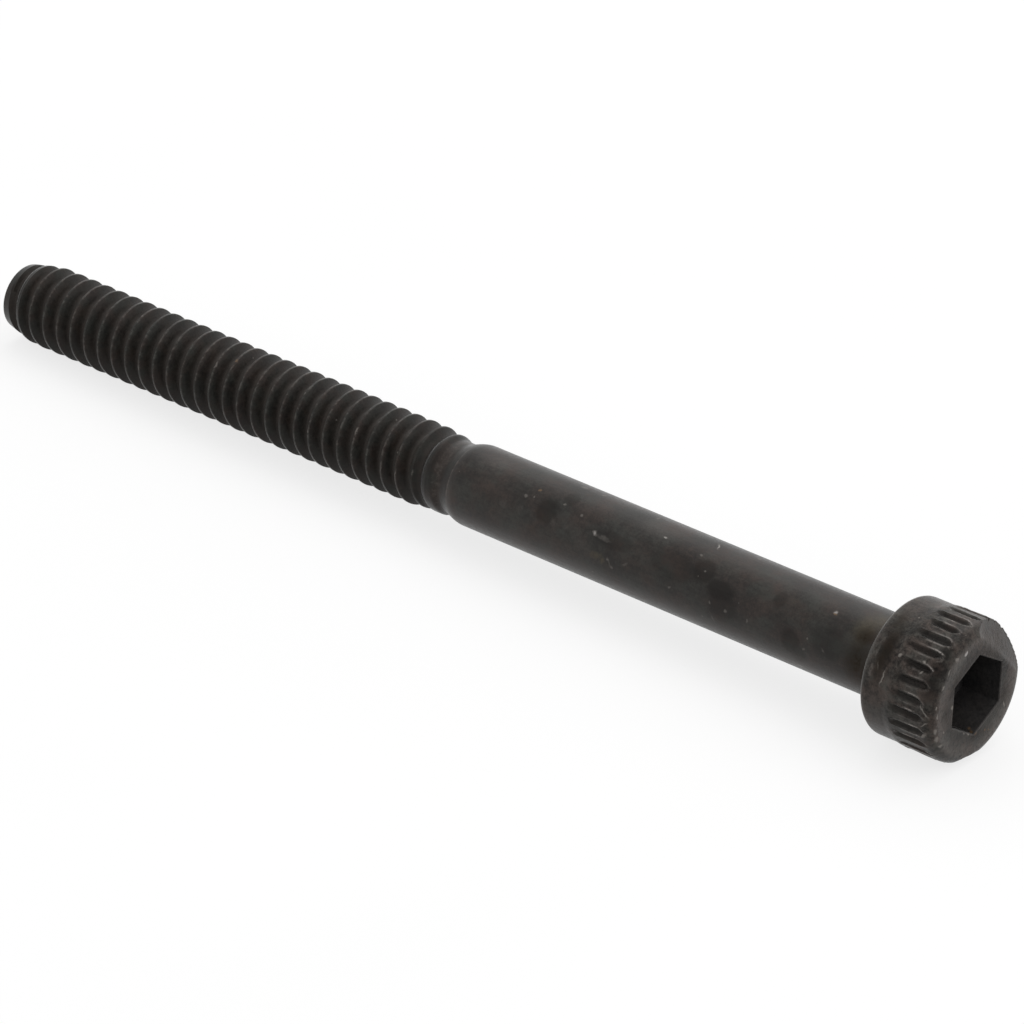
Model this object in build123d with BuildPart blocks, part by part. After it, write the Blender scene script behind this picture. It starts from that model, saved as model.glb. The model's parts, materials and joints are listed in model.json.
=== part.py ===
from build123d import *
from math import asin, atan2, cos, degrees, radians, sin, tan
import os

# A hexagon socket head cap screw, inch size 4-40 by 1-1/2, lying on a flat surface.
# Sizes are in millimetres. The origin is the centre of the bearing face under the head.
# The screw's axis runs from the head towards -X and dips a little, because the head is
# wider than the thread: the screw rests on the knurl of its head and on its thread.

# Head
head_diameter = 4.57
head_height = 2.84
top_edge_radius = 0.36
bearing_edge_radius = 0.20
under_head_fillet = 0.15

# Knurl: grooves rolled round the head, which push the bands between them outwards
knurl_count = 28
knurl_rise = 0.055  # height of the bands over the head
knurl_top_margin = 0.38  # from the top face to the end of a groove
knurl_foot_margin = 0.05  # from the knurl's ramp to the start of a groove
plain_band_length = 0.99  # from the bearing face to the foot of the knurl
knurl_ramp_length = 0.10
groove_width = 0.30
groove_depth = 0.13
groove_floor_width = 0.04
groove_end_slope_length = 0.16

# Hexagon socket
socket_across_flats = 2.381  # takes a 3/32 inch key
socket_depth = 1.42
socket_bottom_angle = 120.0
socket_mouth_chamfer = 0.03
socket_turn = 2.85  # a corner of the hexagon stands this many degrees from straight down

# Shank, neck and thread
shank_diameter = 2.77
under_head_length = 37.70  # 1-1/2 inch less a part of its tolerance
thread_diameter = 2.79
thread_pitch = 0.635  # 40 threads to the inch
thread_length = 18.65
thread_depth = 0.36
first_groove_run = 0.32  # from the foot of the run-out to the bottom of the first groove
run_out_length = 0.80
neck_length = 0.25
shoulder_length = 0.75
tip_diameter = 2.27
tip_chamfer_length = 1.10

# A rolled thread starts from a blank near its pitch diameter, which shows at the neck
neck_diameter = thread_diameter - 0.5 * thread_pitch

# Radii
head_radius = head_diameter / 2
knurl_radius = head_radius + knurl_rise
shank_radius = shank_diameter / 2
thread_radius = thread_diameter / 2
neck_radius = neck_diameter / 2
tip_radius = tip_diameter / 2
socket_cone_depth = socket_across_flats / 2 / tan(radians(socket_bottom_angle / 2))

# Stations along the axis, from the bearing face towards the tip
top_station = -head_height
knurl_foot_station = -plain_band_length
knurl_station = knurl_foot_station - knurl_ramp_length
thread_start_station = under_head_length - thread_length
run_out_station = thread_start_station - run_out_length
neck_station = run_out_station - neck_length
shoulder_station = neck_station - shoulder_length
chamfer_station = under_head_length - tip_chamfer_length
socket_end_station = top_station + socket_depth

# The thread's grooves are rings at its pitch. They stand in for the one groove that winds
# round the real screw, which takes several times the facets that such a part may have.
first_groove_station = run_out_station + first_groove_run
last_groove_station = under_head_length - thread_pitch / 2
thread_groove_count = int((last_groove_station - first_groove_station) / thread_pitch) + 1
thread_groove_stations = [
    first_groove_station + turn * thread_pitch for turn in range(thread_groove_count)
]

# At rest one groove faces straight down, so the head stands on the two bands beside it
half_groove_angle = degrees(asin(groove_width / 2 / knurl_radius))
head_rest_radius = knurl_radius * cos(radians(half_groove_angle))
rest_tilt = degrees(atan2(head_rest_radius - thread_radius, chamfer_station - knurl_station))

towards_tip = (-cos(radians(rest_tilt)), 0, -sin(radians(rest_tilt)))
downwards = (sin(radians(rest_tilt)), 0, -cos(radians(rest_tilt)))
screw_axis = Axis((0, 0, 0), towards_tip)
bearing_plane = Plane(origin=(0, 0, 0), x_dir=downwards, z_dir=towards_tip)
top_plane = bearing_plane.offset(top_station)
profile_plane = Plane(origin=(0, 0, 0), x_dir=towards_tip, z_dir=(0, 1, 0))

# The tooth of the knurling die, which leaves one groove. It is drawn with the screw's
# axis on Z and the outside towards +X, and it is a blunt wedge with sloping ends.
groove_start_station = knurl_station - knurl_foot_margin
groove_length = head_height - knurl_top_margin + groove_start_station
groove_mid_station = groove_start_station - groove_length / 2
tooth_overhang = groove_depth / 4
side_growth = (groove_width - groove_floor_width) / groove_depth * tooth_overhang
end_growth = 2 * groove_end_slope_length / groove_depth * tooth_overhang
with BuildPart() as knurl_tooth:
    with BuildSketch(Plane.YZ.offset(knurl_radius + tooth_overhang)):
        with Locations((0, groove_mid_station)):
            Rectangle(groove_width + side_growth, groove_length + end_growth)
    with BuildSketch(Plane.YZ.offset(knurl_radius - groove_depth)):
        with Locations((0, groove_mid_station)):
            Rectangle(groove_floor_width, groove_length - 2 * groove_end_slope_length)
    loft()

with BuildPart() as cap_screw:
    # The whole blank is one turned form: head, shank, shoulder, neck, thread and tip
    with BuildSketch(profile_plane):
        with BuildLine():
            Polyline(
                (shoulder_station, shank_radius),
                (0, shank_radius),
                (0, head_radius),
                (knurl_foot_station, head_radius),
                (knurl_station, knurl_radius),
                (top_station, knurl_radius),
                (top_station, 0),
                (under_head_length, 0),
                (under_head_length, tip_radius),
                (chamfer_station, thread_radius),
                (thread_start_station, thread_radius),
                (run_out_station, neck_radius),
                (neck_station, neck_radius),
            )
            TangentArc(
                (shoulder_station, shank_radius),
                (neck_station, neck_radius),
                tangent=(1, 0),
            )
        make_face()
    revolve(axis=screw_axis)

    # Rounded edges: the top of the head, its bearing edge and the root under it
    round_edges = cap_screw.edges().filter_by(GeomType.CIRCLE)
    top_edge = round_edges.group_by(screw_axis)[0]
    bearing_face = cap_screw.faces().filter_by(bearing_plane).sort_by(screw_axis)[1]
    bearing_edges = bearing_face.edges().sort_by(SortBy.RADIUS)
    fillet(top_edge, radius=top_edge_radius)
    fillet(bearing_edges[-1], radius=bearing_edge_radius)
    fillet(bearing_edges[0], radius=under_head_fillet)

    # Thread: V grooves side by side, which meet in the crests
    groove_overhang = thread_depth / 4
    groove_half_width = thread_pitch / 2 * (1 + groove_overhang / thread_depth)
    with BuildSketch(profile_plane):
        with Locations(*[(station, thread_radius) for station in thread_groove_stations]):
            Polygon(
                (0, -thread_depth),
                (groove_half_width, groove_overhang),
                (-groove_half_width, groove_overhang),
                align=None,
            )
    revolve(axis=screw_axis, mode=Mode.SUBTRACT)

    # Knurl
    with Locations(bearing_plane):
        with PolarLocations(0, knurl_count):
            add(knurl_tooth.part, mode=Mode.SUBTRACT)

    # Hexagon socket with a drilled bottom and a broken edge at its mouth
    with BuildSketch(top_plane):
        RegularPolygon(
            radius=socket_across_flats / 2,
            side_count=6,
            major_radius=False,
            rotation=socket_turn,
        )
    extrude(amount=socket_depth, mode=Mode.SUBTRACT)
    with BuildSketch(profile_plane):
        with BuildLine():
            Polyline(
                (socket_end_station, 0),
                (socket_end_station, socket_across_flats / 2),
                (socket_end_station + socket_cone_depth, 0),
                close=True,
            )
        make_face()
    revolve(axis=screw_axis, mode=Mode.SUBTRACT)
    socket_mouth = cap_screw.edges().filter_by(GeomType.LINE).group_by(screw_axis)[0]
    chamfer(socket_mouth, length=socket_mouth_chamfer)

cap_screw.part.label = "cap_screw"

os.makedirs("parts", exist_ok=True)
export_step(cap_screw.part, "parts/cap_screw.step")
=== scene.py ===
"""The looks of a small socket head cap screw in black oxide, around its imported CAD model.

The screw's surface is one closed skin. It is drawn in the screw's own measures, which are
the length along its axis from the bearing face under the head (positive towards the tip),
the angle around the axis from straight down, and the radius. Lengths are in millimetres
until the skin is placed in the row frame.
"""

import json
import math

import bpy
import numpy as np
from mathutils import Matrix, Vector


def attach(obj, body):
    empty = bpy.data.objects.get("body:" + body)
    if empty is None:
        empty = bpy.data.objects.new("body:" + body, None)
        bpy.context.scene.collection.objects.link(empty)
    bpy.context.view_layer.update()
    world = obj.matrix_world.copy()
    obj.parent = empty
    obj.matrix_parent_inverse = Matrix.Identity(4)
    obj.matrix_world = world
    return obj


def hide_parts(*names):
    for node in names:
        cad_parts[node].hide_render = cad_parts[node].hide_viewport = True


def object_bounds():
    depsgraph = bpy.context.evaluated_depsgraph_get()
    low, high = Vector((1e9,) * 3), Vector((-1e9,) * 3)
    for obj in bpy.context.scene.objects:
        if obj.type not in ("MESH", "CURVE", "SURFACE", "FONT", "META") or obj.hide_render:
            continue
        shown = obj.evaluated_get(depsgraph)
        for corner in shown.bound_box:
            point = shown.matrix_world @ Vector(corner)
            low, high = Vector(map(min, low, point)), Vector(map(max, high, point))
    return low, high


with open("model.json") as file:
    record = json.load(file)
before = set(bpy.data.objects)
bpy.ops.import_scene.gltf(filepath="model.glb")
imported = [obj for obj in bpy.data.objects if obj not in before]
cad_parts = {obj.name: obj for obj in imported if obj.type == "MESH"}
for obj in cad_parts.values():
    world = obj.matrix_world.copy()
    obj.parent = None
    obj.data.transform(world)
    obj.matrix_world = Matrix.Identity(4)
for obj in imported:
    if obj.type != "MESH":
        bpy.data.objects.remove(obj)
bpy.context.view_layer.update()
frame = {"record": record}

MM = 0.001
FULL_TURN = 2 * math.pi

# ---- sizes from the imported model

mounts = {mount["name"]: mount for mount in frame["record"]["mounts"]}
towards_tip = Vector(mounts["thread"]["axis"]).normalized()
downwards = Vector((-towards_tip.z, 0, towards_tip.x))
sideways = towards_tip.cross(downwards)

under_head_length = Vector(mounts["thread"]["pos_m"]).length / MM
head_height = Vector(mounts["key_socket"]["pos_m"]).length / MM
socket_depth = mounts["key_socket"]["dims"]["length_mm"]
shank_radius = mounts["shank"]["dims"]["r_mm"]
thread_radius = mounts["thread"]["dims"]["r_mm"]
thread_length = mounts["thread"]["dims"]["length_mm"]

# ---- sizes shared with the CAD

head_radius = 2.285
top_edge_radius = 0.36
bearing_edge_radius = 0.20
under_head_fillet = 0.15

knurl_count = 28
knurl_radius = 2.34
plain_band_length = 0.99
knurl_ramp_length = 0.10
groove_width = 0.30
groove_depth = 0.13

socket_across_flats = 2.381
socket_cone_depth = 0.687
socket_mouth_chamfer = 0.03
socket_turn = math.radians(2.85)

thread_pitch = 0.635
run_out_length = 0.80
neck_length = 0.25
shoulder_length = 0.75
tip_radius = 1.135
tip_chamfer_length = 1.10

top_station = -head_height
knurl_foot_station = -plain_band_length
knurl_station = knurl_foot_station - knurl_ramp_length
socket_end_station = top_station + socket_depth
thread_start_station = under_head_length - thread_length
run_out_station = thread_start_station - run_out_length
neck_station = run_out_station - neck_length
shoulder_station = neck_station - shoulder_length
chamfer_station = under_head_length - tip_chamfer_length

# ---- sizes of the finer forms

neck_radius = 1.195
thread_depth = 0.36
crest_half_width = thread_pitch / 16
thread_crest_station = 0.475  # a crest passes straight down here, and then every pitch
tip_edge_radius = 0.08
tip_edge_width = tip_edge_radius * 0.95
tip_flat_radius = tip_radius - 0.048
socket_bottom_step = 0.006
ramp_spread = 0.10  # the ramp up to the knurl is softened by this much at each end
land_hollow = 0.022  # the bands of the knurl dip this much between the lips of the grooves

# A groove of the knurl, from where it starts over the ramp to its point near the top
groove_foot_gap = 0.06
groove_top_margin = 0.28
groove_round_start = 0.20
groove_point_length = 0.30
groove_point_power = 0.75
groove_skew_length = 0.30
groove_slope_in = 0.40
groove_slope_out = 0.26
groove_hollow_power = 1.7
least_half_width = 0.01
lip_offset = 0.010
lip_half_width = 0.036
lip_rise = (0.25, 0.75)
lip_fall = (-0.04, 0.02)
lip_least = 0.45  # height of a lip where its wave is lowest, as a share
lip_share_inside = 0.3
groove_shelter = 1.4  # a groove is fully sheltered before its full depth

# The run-out of the thread, in lengths from where it starts at the neck
first_crest_start = 0.04
first_crest_sway = 0.20
first_crest_turn = math.radians(36)
first_crest_spread = 0.13
first_crest_share = 0.55
full_crest_range = (0.50, 1.20)
root_range = (0.25, 0.90)
crest_wear_range = (0.7, 2.0)
neck_wear_end = 0.16
neck_ring_gap = 0.08
row_clearance = 0.012  # the rows of the helix keep this far from the plain ring at each end
root_fade = (0.06, 0.42)  # before the end of the tip, where the grooves fade out

# The profile of the thread, as shares of the crest's half width and of the depth
crest_rounding = 0.10
root_rounding_start = 0.84
crest_wear_width = 0.085  # in turns
root_shelter_range = (0.25, 0.95)

# How far an edge is rubbed or worn, and how far a hollow is sheltered, from 0 to 1. The sheltered
# mask carries painted shade on the head and shank, painted light in the thread's roots, and where
# rust gathers
socket_mouth_wear = 0.25
top_edge_wear = 0.32
band_edge_wear = 0.15
bearing_edge_wear = 0.30
bearing_foot_wear = 0.20
neck_wear = 0.6
least_crest_wear = 0.4
chamfer_wear_share = 0.5
tip_wear = 0.5
mouth_shelter = 0.70
rim_wear_range = (1.45, 1.95)  # from this radius to that, on the top face
mouth_shelter_range = (1.75, 1.28)
fillet_shelter = 0.4

# Where the top edge of the head was knocked: degrees around and of lean, depth, softness
bruises = ((5, 31, 0.10, 0.03), (226, 60, 0.325, 0.16))
full_knock = 0.16  # a point moved this far has lost its wear and takes full painted shade
knock_wear_loss = 0.9
knock_painted_shade = 0.5

sharp_edge_degrees = 38

# The shoulder's soft edge and slope: share of its length, share of its drop, wear
shoulder_form = (
    (0.11, 0.02, 0.0),
    (0.20, 0.07, 0.0),
    (0.31, 0.16, 0.0),
    (0.38, 0.23, 0.2),
    (0.44, 0.30, 0.5),
    (0.50, 0.38, 0.2),
    (0.58, 0.49, 0.0),
    (0.68, 0.64, 0.0),
    (0.79, 0.80, 0.0),
    (0.89, 0.93, 0.1),
    (0.95, 0.98, 0.3),
    (1.00, 1.00, 0.5),
)

# ---- the skin

SHANK, THREAD, HEAD, SOCKET = range(4)

SHANK_COLUMNS = 96
COLUMNS_PER_GROOVE = 16
HEAD_COLUMNS = knurl_count * COLUMNS_PER_GROOVE
ROWS_PER_THREAD = 16  # points of the thread's profile in one pitch

rng = np.random.default_rng(28)


class Skin:
    """Points, faces and masks of the screw's surface, gathered ring by ring."""

    def __init__(self):
        self.points = []
        self.faces = []
        self.finishes = []

    def point(self, along, around, radius, raised=0.0, sheltered=0.0):
        self.points.append((along, around, radius, raised, sheltered))
        return len(self.points) - 1

    def ring(self, along, around, radius, raised=0.0, sheltered=0.0):
        columns = np.broadcast_arrays(along, around, radius, raised, sheltered)
        return [self.point(*column) for column in zip(*columns)]

    def face(self, corners, finish):
        self.faces.append(corners)
        self.finishes.append(finish)

    def band(self, first, second, finish):
        """Quads between two rings of as many points, going from the socket to the tip."""
        for i in range(len(first)):
            j = (i + 1) % len(first)
            self.face([first[i], first[j], second[j], second[i]], finish)

    def grow(self, last, finish, along, around, radius, raised=0.0, sheltered=0.0):
        """Adds a ring and joins it to the last one."""
        ring = self.ring(along, around, radius, raised, sheltered)
        self.band(last, ring, finish)
        return ring

    def zip_up(self, near, far, finish):
        """Joins two chains of (place, point): quads where their places agree, else triangles."""
        i = 0
        j = 0
        while i < len(near) - 1 or j < len(far) - 1:
            near_next = near[i + 1][0] if i < len(near) - 1 else math.inf
            far_next = far[j + 1][0] if j < len(far) - 1 else math.inf
            corners = [near[i][1], far[j][1]]
            if far_next <= near_next:
                j += 1
                corners.append(far[j][1])
            if near_next <= far_next:
                i += 1
                corners.append(near[i][1])
            self.face(corners, finish)

    def cap(self, ring, along, finish, outward):
        """Closes a ring with a fan to a point on the axis."""
        centre = self.point(along, 0.0, 0.0)
        for here, beside in zip(ring, ring[1:] + ring[:1]):
            side = [here, beside] if outward else [beside, here]
            self.face(side + [centre], finish)


def smooth_step(low, high, value):
    share = np.clip((value - low) / (high - low), 0.0, 1.0)
    return share * share * (3 - 2 * share)


def bump(value, middle, half_width):
    return np.exp(-(((value - middle) / half_width) ** 2))


# ---- head

half_groove_pitch = math.pi / knurl_count
half_offsets = np.array([0.0, 0.16, 0.31, 0.44, 0.55, 0.65, 0.76, 0.88])
column_offsets = np.concatenate([half_offsets, [1.0], 2.0 - half_offsets[:0:-1]])
groove_of_column = np.repeat(np.arange(knurl_count), COLUMNS_PER_GROOVE)
head_around = (2 * groove_of_column + np.tile(column_offsets, knurl_count)) * half_groove_pitch

# Each groove was rolled a little differently: its start, length, width, depth and lean
groove_start_shift = rng.uniform(-0.05, 0.05, knurl_count)
groove_end_shift = rng.uniform(-0.10, 0.06, knurl_count)
groove_width_share = rng.uniform(0.88, 1.06, knurl_count)
groove_depth_share = rng.uniform(0.85, 1.05, knurl_count)
groove_lean = rng.uniform(-0.025, 0.025, knurl_count)
groove_end_skew = rng.uniform(-0.05, 0.05, knurl_count)
lip_strength = np.stack([rng.uniform(0.25, 0.85, knurl_count), rng.uniform(0.60, 1.0, knurl_count)])
lip_pace = rng.uniform(3.0, 8.0, (2, knurl_count))
lip_phase = rng.uniform(0.0, FULL_TURN, (2, knurl_count))


def knurled(along, radius):
    """Radius, lips and shelter of the head's side at a station, for every column."""
    radius = np.full(HEAD_COLUMNS, float(radius))
    raised = np.zeros(HEAD_COLUMNS)
    sheltered = np.zeros(HEAD_COLUMNS)
    band_share = smooth_step(knurl_foot_station + ramp_spread, knurl_station - ramp_spread, along)
    for shift in (0, 1):
        groove = (groove_of_column + shift) % knurl_count
        angle = head_around - 2 * (groove_of_column + shift) * half_groove_pitch
        start = knurl_station - groove_foot_gap + groove_start_shift[groove]
        end = top_station + groove_top_margin + groove_end_shift[groove]
        run = start - along
        left = along - end
        middle = groove_lean[groove] * (2 * run / (start - end) - 1)
        middle = middle + groove_end_skew[groove] * smooth_step(groove_skew_length, 0.0, left)
        offset = angle * knurl_radius - middle
        across = np.abs(offset)
        round_start = np.sqrt(1 - (1 - np.clip(run / groove_round_start, 0, 1)) ** 2)
        point = np.clip(left / groove_point_length, 0, 1) ** groove_point_power
        half_width = groove_width / 2 * groove_width_share[groove] * round_start * point
        inside = (half_width > least_half_width) & (across < half_width)
        depth_share = smooth_step(0, groove_slope_in, run) * smooth_step(0, groove_slope_out, left)
        deepest = groove_depth * groove_depth_share[groove] * depth_share
        across_share = across / np.maximum(half_width, least_half_width)
        cut = np.where(inside, deepest * (1 - across_share**groove_hollow_power), 0.0)
        side = (offset > 0).astype(int)
        wave = 0.5 + 0.5 * np.sin(along * lip_pace[side, groove] + lip_phase[side, groove])
        lip_presence = smooth_step(*lip_rise, run) * smooth_step(*lip_fall, left)
        lip_presence *= lip_strength[side, groove] * (lip_least + (1 - lip_least) * wave)
        lip = bump(across, half_width + lip_offset, lip_half_width) * lip_presence
        radius = radius - cut
        raised = np.maximum(raised, np.where(inside, lip * lip_share_inside, lip))
        # The grooves' depth goes into the sheltered mask, which paints shade into them
        sheltered = np.maximum(sheltered, np.clip(cut / groove_depth * groove_shelter, 0, 1))
    between_grooves = sheltered < 0.05
    radius = radius - land_hollow * (1 - raised) * band_share * between_grooves
    return radius, raised, sheltered


def hexagon(across_flats):
    """Angles and radii of a hexagon, in as many columns as the head has."""
    per_side = HEAD_COLUMNS / 6
    first_corner = int(np.argmin(np.abs(head_around - socket_turn)))
    around = socket_turn + (np.arange(HEAD_COLUMNS) - first_corner) / HEAD_COLUMNS * FULL_TURN
    from_corner = ((np.arange(HEAD_COLUMNS) - first_corner) % per_side) / per_side
    from_middle = (from_corner - 0.5) * math.pi / 3
    return around, across_flats / 2 / np.cos(from_middle)


def make_socket(skin):
    """The bottom cone, walls and broken mouth edge of the hexagon socket."""
    around, wall = hexagon(socket_across_flats)
    mouth_around, mouth = hexagon(socket_across_flats + 2 * socket_mouth_chamfer)
    bottom_radius = socket_across_flats / 2 - socket_bottom_step
    cone_rings = []
    for share in (0.25, 0.6, 1.0):
        station = socket_end_station + socket_cone_depth * (1 - share)
        cone_rings.append(skin.ring(station, around, bottom_radius * share, 0, 1))
    skin.cap(cone_rings[0], socket_end_station + socket_cone_depth, SOCKET, outward=False)
    rings = cone_rings + [skin.ring(socket_end_station, around, wall, 0, 1)]
    wall_top = top_station + socket_mouth_chamfer
    for share in (0.15, 0.4, 0.65, 0.85, 1.0):
        station = socket_end_station + (wall_top - socket_end_station) * share
        rings.append(skin.ring(station, around, wall, 0.0, 1 - share))
    rings.append(skin.ring(top_station, mouth_around, mouth, socket_mouth_wear, 0))
    for first, second in zip(rings, rings[1:]):
        skin.band(first, second, SOCKET)
    return rings[-1], mouth_around, mouth


def make_head(skin):
    """Top face, rounded and knurled side, plain band and bearing face."""
    last, mouth_around, mouth = make_socket(skin)
    face_edge_radius = knurl_radius - top_edge_radius
    for share in (0.06, 0.2, 0.4, 0.6, 0.8, 0.94):
        around = mouth_around + (head_around - mouth_around) * share
        radius = mouth + (face_edge_radius - mouth) * share
        raised = top_edge_wear * smooth_step(*rim_wear_range, radius)
        # Painted shade on the top face, darker towards the socket's mouth
        sheltered = mouth_shelter * smooth_step(*mouth_shelter_range, radius)
        last = skin.grow(last, HEAD, top_station, around, radius, raised, sheltered)

    stations = []
    for angle_degrees in range(90, -1, -10):
        angle = math.radians(angle_degrees)
        along = top_station + top_edge_radius * (1 - math.sin(angle))
        radius = face_edge_radius + top_edge_radius * math.cos(angle)
        stations.append((along, radius, top_edge_wear * smooth_step(45, 90, angle_degrees)))
    ramp_start = knurl_station - ramp_spread
    ramp_end = knurl_foot_station + ramp_spread
    for along in np.linspace(top_station + top_edge_radius, ramp_start, 28)[1:]:
        stations.append((along, knurl_radius, 0.0))
    for share in (0.17, 0.33, 0.5, 0.67, 0.83, 1.0):
        along = ramp_start + (ramp_end - ramp_start) * share
        radius = knurl_radius + (head_radius - knurl_radius) * smooth_step(0, 1, share)
        stations.append((along, radius, 0.0))
    bearing_arc_station = -bearing_edge_radius
    for along in np.linspace(ramp_end, bearing_arc_station, 7)[1:]:
        edge = band_edge_wear * smooth_step(bearing_arc_station - 0.25, bearing_arc_station, along)
        stations.append((along, head_radius, edge))
    for along, radius, edge in stations:
        side, raised, sheltered = knurled(along, radius)
        last = skin.grow(last, HEAD, along, head_around, side, np.maximum(raised, edge), sheltered)

    for angle_degrees in (15, 30, 45, 60, 75, 90):
        angle = math.radians(angle_degrees)
        along = bearing_arc_station + bearing_edge_radius * math.sin(angle)
        radius = head_radius - bearing_edge_radius * (1 - math.cos(angle))
        edge = bearing_edge_wear if 20 < angle_degrees < 80 else bearing_foot_wear
        last = skin.grow(last, HEAD, along, head_around, radius, edge)
    return last


# ---- shank

shank_around = np.arange(SHANK_COLUMNS) / SHANK_COLUMNS * FULL_TURN


def run_out_crest(along, around):
    """Radius over the crests, which start low at the neck and reach full height later."""
    run = along - run_out_station
    rise = first_crest_start - first_crest_sway * np.cos(around - first_crest_turn)
    first = smooth_step(rise - first_crest_spread, rise + first_crest_spread, run)
    full = smooth_step(*full_crest_range, run)
    share = first_crest_share * first + (1 - first_crest_share) * full
    return neck_radius + (thread_radius - neck_radius) * share


def make_shank(skin, bearing_ring):
    """Fillet under the head, plain shank, and the round shoulder down to the neck."""
    fillet_foot = shank_radius + under_head_fillet
    # Painted shade in the fillet under the head, through the sheltered mask
    last = skin.ring(0.0, shank_around, fillet_foot, 0, fillet_shelter)
    near = [*zip(shank_around, last), (FULL_TURN, last[0])]
    far = [*zip(head_around, bearing_ring), (FULL_TURN, bearing_ring[0])]
    skin.zip_up(near, far, HEAD)

    profile = []
    for angle_degrees in (22, 45, 68, 90):
        angle = math.radians(angle_degrees)
        along = under_head_fillet * (1 - math.cos(angle))
        radius = fillet_foot - under_head_fillet * math.sin(angle)
        profile.append((along, radius, 0.0, fillet_shelter * math.cos(angle)))
    for along in np.linspace(under_head_fillet, shoulder_station, 30)[1:]:
        profile.append((along, shank_radius, 0.0, 0.0))
    for length_share, drop_share, raised in shoulder_form:
        along = shoulder_station + shoulder_length * length_share
        radius = shank_radius - (shank_radius - neck_radius) * drop_share
        if length_share == 1.0:
            radius = run_out_crest(along, shank_around)
        profile.append((along, radius, raised, 0.0))
    for along, radius, raised, sheltered in profile:
        finish = SHANK if along < shoulder_station + shoulder_length / 2 else THREAD
        last = skin.grow(last, finish, along, shank_around, radius, raised, sheltered)
    return last


# ---- thread

half_phases = np.array([0.035, 0.0625, 0.095, 0.18, 0.28, 0.375, 0.435])
row_phases = np.concatenate([[0.0], half_phases, [0.5], 1.0 - half_phases[::-1]])
flank_slope = math.tan(math.radians(60))


def thread_form(phase):
    """Depth under the crest as a share of the full depth, from a phase of 0 to 1."""
    from_crest = np.minimum(phase, 1 - phase) * thread_pitch
    flank = (from_crest - crest_half_width) * flank_slope
    rounding = crest_rounding * crest_half_width
    crest_round = rounding * np.clip(from_crest / crest_half_width, 0, 1) ** 2
    share = np.maximum(flank + rounding, crest_round) / thread_depth
    over = share - root_rounding_start
    rest = 1 - root_rounding_start
    return np.where(over > 0, root_rounding_start + rest * np.tanh(over / rest), share)


def thread_point(skin, along, around, phase):
    """One point of the thread, with its run-out at the neck and its chamfer at the tip."""
    run = along - run_out_station
    crest = run_out_crest(along, around)
    root_share = smooth_step(*root_range, run) * smooth_step(*root_fade, under_head_length - along)
    depth_share = thread_form(phase)
    radius = crest - thread_depth * root_share * depth_share
    chamfer_share = (along - chamfer_station) / tip_chamfer_length
    chamfer = thread_radius + (tip_radius - thread_radius) * chamfer_share
    height_share = (crest - neck_radius) / (thread_radius - neck_radius)
    wear = least_crest_wear + (1 - least_crest_wear) * smooth_step(*crest_wear_range, run)
    raised = bump(min(phase, 1 - phase), 0.0, crest_wear_width) * height_share * wear
    raised = max(raised, neck_wear * smooth_step(neck_wear_end, 0.0, run))
    if radius > chamfer:
        radius = chamfer
        raised = raised * chamfer_wear_share
    # Painted light: the thread's finish lightens its roots where this mask is high
    sheltered = smooth_step(*root_shelter_range, depth_share) * root_share
    return skin.point(along, around, radius, raised, sheltered)


def make_thread(skin, neck_ring):
    """Rows of points that follow the helix, closed by a plain ring at each end."""
    first_station = neck_station + neck_ring_gap
    last_station = under_head_length - tip_edge_radius
    first_radius = run_out_crest(first_station, shank_around)
    first = skin.grow(neck_ring, THREAD, first_station, shank_around, first_radius, neck_wear)
    last_radius = tip_radius + (thread_radius - tip_radius) * tip_edge_radius / tip_chamfer_length
    last = skin.ring(last_station, shank_around, last_radius)

    columns = []
    for i, around in enumerate(shank_around):
        chain = [(-math.inf, first[i])]
        advance = thread_crest_station + thread_pitch * around / FULL_TURN
        row = math.floor((first_station - advance) / thread_pitch) * ROWS_PER_THREAD
        while True:
            phase = row_phases[row % ROWS_PER_THREAD]
            along = advance + (row // ROWS_PER_THREAD + phase) * thread_pitch
            if along > last_station - row_clearance:
                break
            if along > first_station + row_clearance:
                chain.append((row, thread_point(skin, along, around, phase)))
            row += 1
        chain.append((10**6, last[i]))
        columns.append(chain)
    after_a_turn = [(-math.inf, columns[0][0][1])]
    after_a_turn += [(row - ROWS_PER_THREAD, point) for row, point in columns[0][1:-1]]
    after_a_turn.append(columns[0][-1])
    for near, far in zip(columns, columns[1:] + [after_a_turn]):
        skin.zip_up(near, far, THREAD)
    return last


def make_tip(skin, last):
    """The rounded edge and flat end of the tip."""
    for angle_degrees in (45, 67, 90):
        angle = math.radians(angle_degrees)
        along = under_head_length - tip_edge_radius * (1 - math.sin(angle))
        radius = tip_flat_radius + tip_edge_width * math.cos(angle)
        last = skin.grow(last, THREAD, along, shank_around, radius, tip_wear)
    for share in (0.85, 0.6, 0.3):
        last = skin.grow(last, THREAD, under_head_length, shank_around, tip_flat_radius * share)
    skin.cap(last, under_head_length, THREAD, outward=True)


# ---- bruises and the mesh


def add_object(name, data):
    piece = bpy.data.objects.new(name, data)
    bpy.context.scene.collection.objects.link(piece)
    return piece


def planed_off(points, around_degrees, lean_degrees, depth, softness):
    """Flattens the top edge of the head where it was knocked, by a plane that leans."""
    around = math.radians(around_degrees)
    lean = math.radians(lean_degrees)
    outwards = np.array([0.0, math.sin(around), -math.cos(around)])
    normal = math.cos(lean) * outwards - math.sin(lean) * np.array([1.0, 0.0, 0.0])
    middle = outwards * (knurl_radius - top_edge_radius)
    middle[0] = top_station + top_edge_radius
    over = points @ normal - (middle @ normal + top_edge_radius - depth)
    eased = np.logaddexp(0.0, over / softness)
    eased = eased - math.log(2) * np.exp(-np.clip(over / softness, 0, None))
    near = points[:, 0] < knurl_foot_station
    return points - np.where(near, np.clip(softness * eased, 0, None), 0.0)[:, None] * normal


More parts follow.
